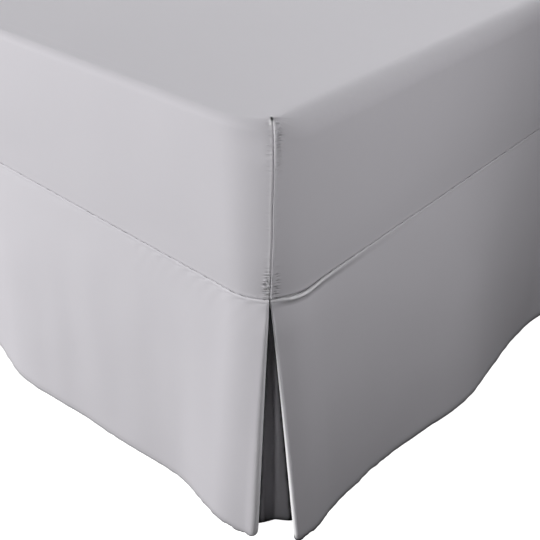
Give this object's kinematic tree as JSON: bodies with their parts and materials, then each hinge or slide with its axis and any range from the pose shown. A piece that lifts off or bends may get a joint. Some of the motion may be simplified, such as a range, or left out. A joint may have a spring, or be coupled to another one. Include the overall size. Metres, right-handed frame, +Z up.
{
  "type": "bed skirt sewn to a fitted mattress cover, on a mattress and bed base",
  "caption": "Plain cloth bed skirt with inverted corner pleats, sewn to a boxed fitted cover that is stretched over a mattress on a divan base.",
  "frame": {"origin": "on the floor, under the middle of the bed", "axes": "+X across the bed to its right side, +Y from the foot end to the head end, +Z up"},
  "size_m": [1.6598, 2.1409, 0.65],
  "materials": {
    "grey_microfibre": "smooth matt plain weave",
    "mattress_ticking": "matt knitted ticking",
    "base_upholstery": "matt woven upholstery",
    "glide_plastic": "matt moulded"
  },
  "bodies": {
    "root": {"fitted_cover": "grey_microfibre", "skirt_foot": "grey_microfibre", "skirt_right": "grey_microfibre", "skirt_head": "grey_microfibre", "skirt_left": "grey_microfibre", "pleat_foot_right": "grey_microfibre", "pleat_right_head": "grey_microfibre", "pleat_head_left": "grey_microfibre", "pleat_left_foot": "grey_microfibre", "mattress": "mattress_ticking", "bed_base": "base_upholstery", "glide_0_0": "glide_plastic", "glide_0_1": "glide_plastic", "glide_1_0": "glide_plastic", "glide_1_1": "glide_plastic", "glide_2_0": "glide_plastic", "glide_2_1": "glide_plastic"}
  },
  "joints": []
}
